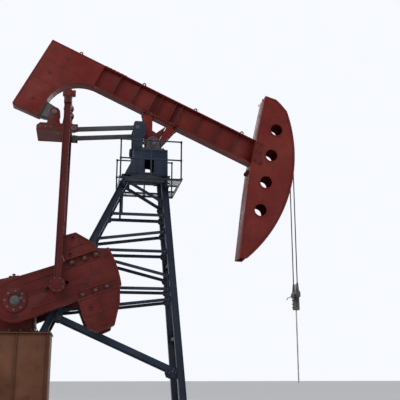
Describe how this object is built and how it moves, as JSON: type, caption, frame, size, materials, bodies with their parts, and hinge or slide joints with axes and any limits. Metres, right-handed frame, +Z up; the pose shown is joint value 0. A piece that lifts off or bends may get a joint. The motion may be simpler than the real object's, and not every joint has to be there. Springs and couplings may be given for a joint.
{
  "type": "beam pumping unit",
  "caption": "Oilfield pumpjack with a bent weighted tail, rocker linkage, twin cranks and a windowed horse head.",
  "frame": {"origin": "on the ground, straight below the beam's pivot, midway between the base rails", "axes": "+X along the beam towards the horse head, +Y across the machine, +Z up"},
  "size_m": [11.2813, 2.92, 10.9069],
  "materials": {
    "red_paint": "weathered dark red paint",
    "navy_paint": "weathered navy paint",
    "brown_paint": "dusty rust-brown paint",
    "dark_steel": "dark oiled steel",
    "bare_steel": "machined steel",
    "belt_rubber": "matt black rubber"
  },
  "bodies": {
    "frame": {"base_skid": "brown_paint", "gearbox_pedestal": "brown_paint", "front_leg_near": "navy_paint", "front_leg_far": "navy_paint", "rear_leg_near": "navy_paint", "rear_leg_far": "navy_paint", "side_braces_near": "navy_paint", "side_braces_far": "navy_paint", "cross_braces": "navy_paint", "post_head": "navy_paint", "pivot_bearings": "dark_steel", "push_rod_bracket": "navy_paint", "work_platform": "dark_steel", "guard_rails": "navy_paint", "ladder": "navy_paint", "gearbox_case": "red_paint", "gearbox_cover": "red_paint", "motor": "dark_steel", "belt_guard": "navy_paint", "drive_belt": "belt_rubber"},
    "motor_rotor": {"motor_sheave": "dark_steel"},
    "input_rotor": {"input_sheave": "dark_steel"},
    "beam": {"walking_beam": "red_paint", "tail_counterweight": "red_paint", "tail_bearing": "dark_steel", "saddle": "red_paint", "horse_head_near_plate": "red_paint", "horse_head_far_plate": "red_paint", "horse_head_face": "red_paint", "horse_head_back": "red_paint", "rope_anchor": "dark_steel"},
    "rocker": {"rocker_frame": "red_paint", "equalizer_beam": "red_paint"},
    "pitmans": {"pitman_near": "red_paint", "pitman_far": "red_paint"},
    "push_rods": {"push_rods": "dark_steel"},
    "cranks": {"crank_shaft": "bare_steel", "crank_near": "red_paint", "crank_far": "red_paint", "counterweights_near": "red_paint", "counterweights_far": "red_paint"},
    "hanger": {"hanging_ropes": "dark_steel", "carrier_bar": "dark_steel", "rod_clamp": "dark_steel", "polished_rod": "bare_steel"}
  },
  "joints": [
    {"name": "beam_swing", "type": "hinge", "parent": "frame", "child": "beam", "pos_m": [0, 0, 7.85], "axis": [0, -1, 0], "range_deg": [-16, 36]},
    {"name": "rocker_turn", "type": "hinge", "parent": "beam", "child": "rocker", "pos_m": [-2.8, 0, 8.67], "axis": [0, -1, 0], "range_deg": [-13.92, 31.26]},
    {"name": "pitman_turn", "type": "hinge", "parent": "rocker", "child": "pitmans", "pos_m": [-2.4, 0, 8.75], "axis": [0, -1, 0], "range_deg": [-65.04, 28.94]},
    {"name": "push_rod_turn", "type": "hinge", "parent": "frame", "child": "push_rods", "pos_m": [-0.45, 0, 8.27], "axis": [0, -1, 0], "range_deg": [-14.74, 33.1]},
    {"name": "crank_turn", "type": "hinge", "parent": "frame", "child": "cranks", "pos_m": [-3.46, 0, 3.25], "axis": [0, -1, 0], "range_deg": [-95.52, 42.48]},
    {"name": "rod_lift", "type": "slide", "parent": "frame", "child": "hanger", "axis": [0, 0, 1], "range_m": [-1.1832, 2.6498], "deforming": ["hanging_ropes"]},
    {"name": "motor_spin", "type": "hinge", "parent": "frame", "child": "motor_rotor", "pos_m": [-6.13, 0, 2.52], "axis": [0, -1, 0], "continuous": true},
    {"name": "input_spin", "type": "hinge", "parent": "frame", "child": "input_rotor", "pos_m": [-4.45, 0, 3.4], "axis": [0, -1, 0], "continuous": true}
  ],
  "couplings": [
    {"joint": "rocker_turn", "follows": "beam_swing", "ratio": 0.85},
    {"joint": "pitman_turn", "follows": "beam_swing", "ratio": -1.77},
    {"joint": "push_rod_turn", "follows": "beam_swing", "ratio": 0.9},
    {"joint": "crank_turn", "follows": "beam_swing", "ratio": -2.6},
    {"joint": "rod_lift", "follows": "beam_swing", "m_per_rad": 4.2013},
    {"joint": "input_spin", "follows": "motor_spin", "ratio": 0.2889}
  ]
}
